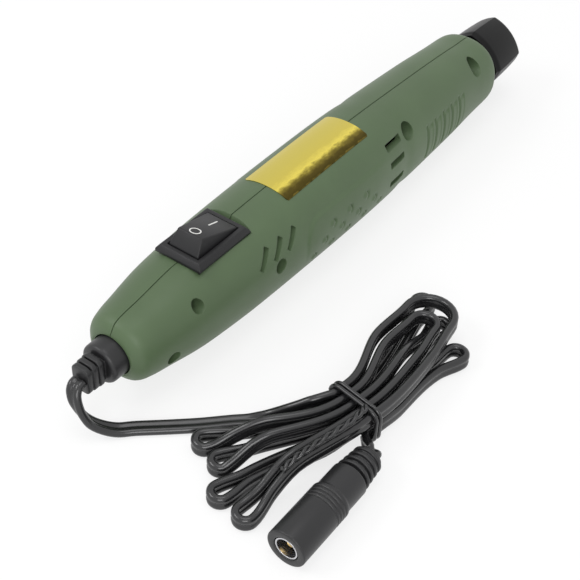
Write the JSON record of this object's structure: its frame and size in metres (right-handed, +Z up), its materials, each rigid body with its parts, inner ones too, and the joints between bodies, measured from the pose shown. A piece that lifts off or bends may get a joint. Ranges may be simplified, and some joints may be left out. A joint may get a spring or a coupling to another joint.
{
  "type": "pen sander",
  "caption": "Slim pen-shaped electric sander: two-shell casing, rocker switch, grooved grip, faceted nose cap over a collet chuck, and a flat twin lead tied in a hank.",
  "frame": {"origin": "on the surface that the tool lies on, under the middle of the tool without its lead", "axes": "+X from the cord end to the nose, +Z up through the switch, +Y to the tool's left"},
  "size_m": [0.2099, 0.0858, 0.0339],
  "materials": {
    "green_plastic": "fine matte",
    "black_plastic": "satin",
    "dark_plastic": "matte",
    "gold_foil": "satin foil",
    "steel": "turned",
    "zinc_steel": "zinc plated",
    "brass": "turned",
    "copper": "bare",
    "ferrite": "matte",
    "carbon": "matte",
    "red_vinyl": "satin",
    "black_vinyl": "satin"
  },
  "bodies": {
    "casing": {"shell_right": "green_plastic", "shell_left": "green_plastic", "housing_screw_1": "zinc_steel", "housing_screw_2": "zinc_steel", "housing_screw_3": "zinc_steel", "housing_screw_4": "zinc_steel", "housing_screw_5": "zinc_steel", "rating_plate": "gold_foil", "switch_housing": "black_plastic", "switch_terminal_1": "brass", "switch_terminal_2": "brass", "strain_relief": "black_vinyl", "motor_can": "zinc_steel", "motor_end_cap": "dark_plastic", "motor_front_bush": "brass", "motor_rear_bush": "brass", "motor_magnet_1": "ferrite", "motor_magnet_2": "ferrite", "motor_brush_1": "carbon", "motor_brush_2": "carbon", "motor_terminal_1": "copper", "motor_terminal_2": "copper", "rear_bearing_outer_race": "steel", "rear_bearing_cage": "brass", "front_bearing_outer_race": "steel", "front_bearing_cage": "brass", "cord_to_motor_lead": "black_vinyl", "cord_to_switch_lead": "red_vinyl", "switch_to_motor_lead": "red_vinyl", "cord_run": "black_vinyl", "cord_hank": "black_vinyl", "cord_tie": "black_vinyl", "socket_body": "black_vinyl", "socket_sleeve": "steel", "socket_pin": "brass"},
    "rocker": {"switch_rocker": "black_plastic"},
    "spindle": {"motor_shaft": "steel", "armature_core": "zinc_steel", "armature_coil_1": "copper", "armature_coil_2": "copper", "armature_coil_3": "copper", "commutator": "copper", "shaft_coupling": "brass", "coupling_screw_1": "zinc_steel", "coupling_screw_2": "zinc_steel", "spindle": "steel", "rear_bearing_inner_race": "steel", "front_bearing_inner_race": "steel"},
    "collet": {"collet": "brass"},
    "chuck_nut": {"chuck_nut": "zinc_steel"},
    "nose_cap": {"nose_cap": "black_plastic"}
  },
  "joints": [
    {"name": "rocker_tilt", "type": "hinge", "parent": "casing", "child": "rocker", "pos_m": [-0.05515, 0, 0.028], "axis": [0, 1, 0], "range_deg": [-30.8, 0]},
    {"name": "spindle_spin", "type": "hinge", "parent": "casing", "child": "spindle", "pos_m": [0.02265, 0, 0.0145], "axis": [1, 0, 0], "continuous": true},
    {"name": "collet_slide", "type": "slide", "parent": "spindle", "child": "collet", "axis": [1, 0, 0], "range_m": [0, 0.0015]},
    {"name": "chuck_nut_turn", "type": "hinge", "parent": "collet", "child": "chuck_nut", "pos_m": [0.09365, 0, 0.0145], "axis": [1, 0, 0], "range_deg": [0, 720]},
    {"name": "nose_cap_slide", "type": "slide", "parent": "casing", "child": "nose_cap", "axis": [1, 0, 0], "range_m": [0, 0.026]}
  ],
  "couplings": [
    {"joint": "chuck_nut_turn", "follows": "collet_slide", "rad_per_m": 8377.5}
  ]
}
